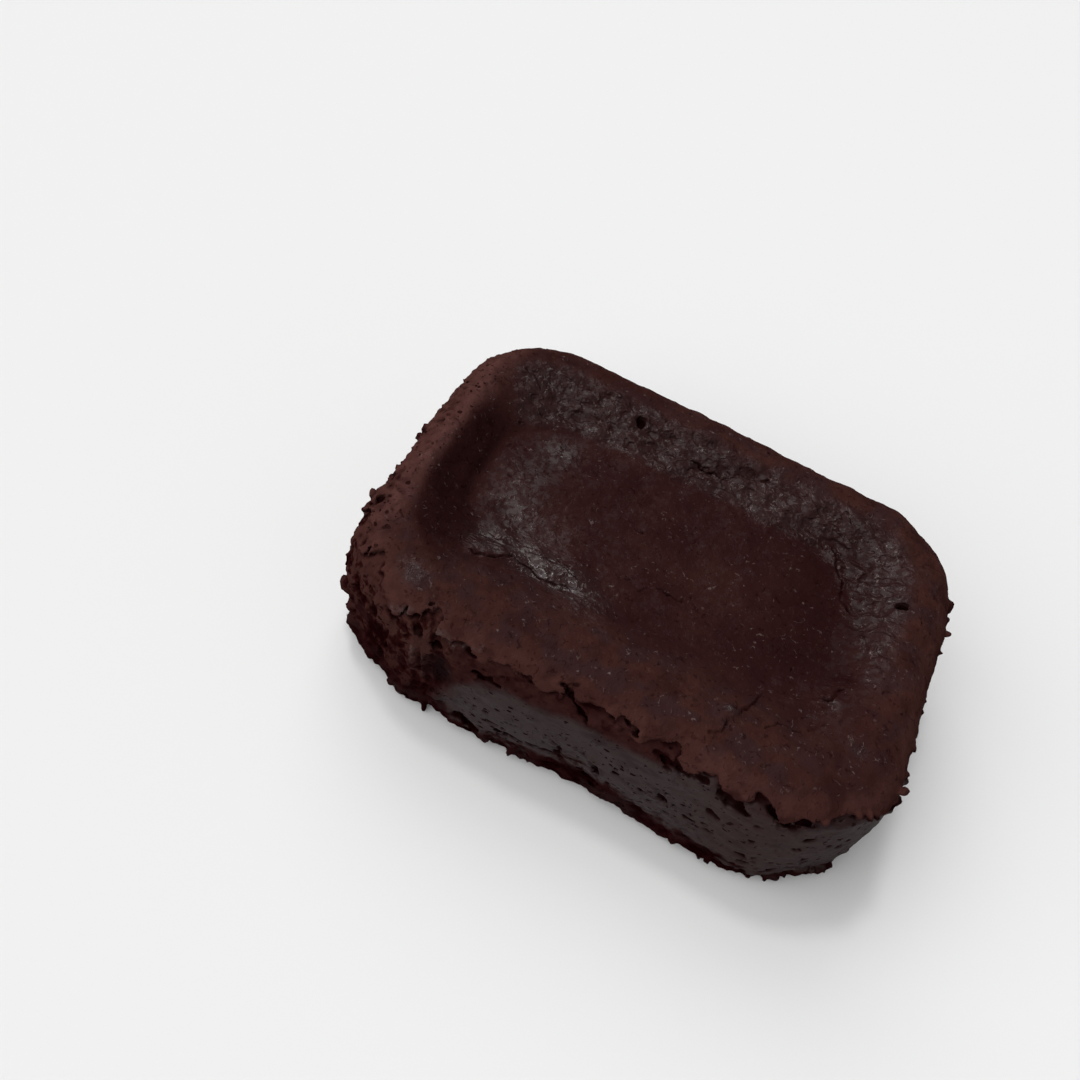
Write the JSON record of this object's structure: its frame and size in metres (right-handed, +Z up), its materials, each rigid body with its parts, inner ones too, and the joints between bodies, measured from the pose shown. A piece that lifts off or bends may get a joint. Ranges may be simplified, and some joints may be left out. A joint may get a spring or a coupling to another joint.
{
  "type": "protein brownie",
  "caption": "Small dark chocolate brownie baked in a rounded rectangular tin: sunken shiny top, rolled rim and a ragged crust lip over a porous side.",
  "frame": {"origin": "middle of the cake's box, on the surface that its flat base rests on", "axes": "+X along the length, +Y away from the side that shows, +Z up through the sunken top"},
  "size_m": [0.0858, 0.0634, 0.0253],
  "materials": {
    "crust": "satin baked chocolate crust"
  },
  "bodies": {
    "root": {"brownie": "crust"}
  },
  "joints": []
}
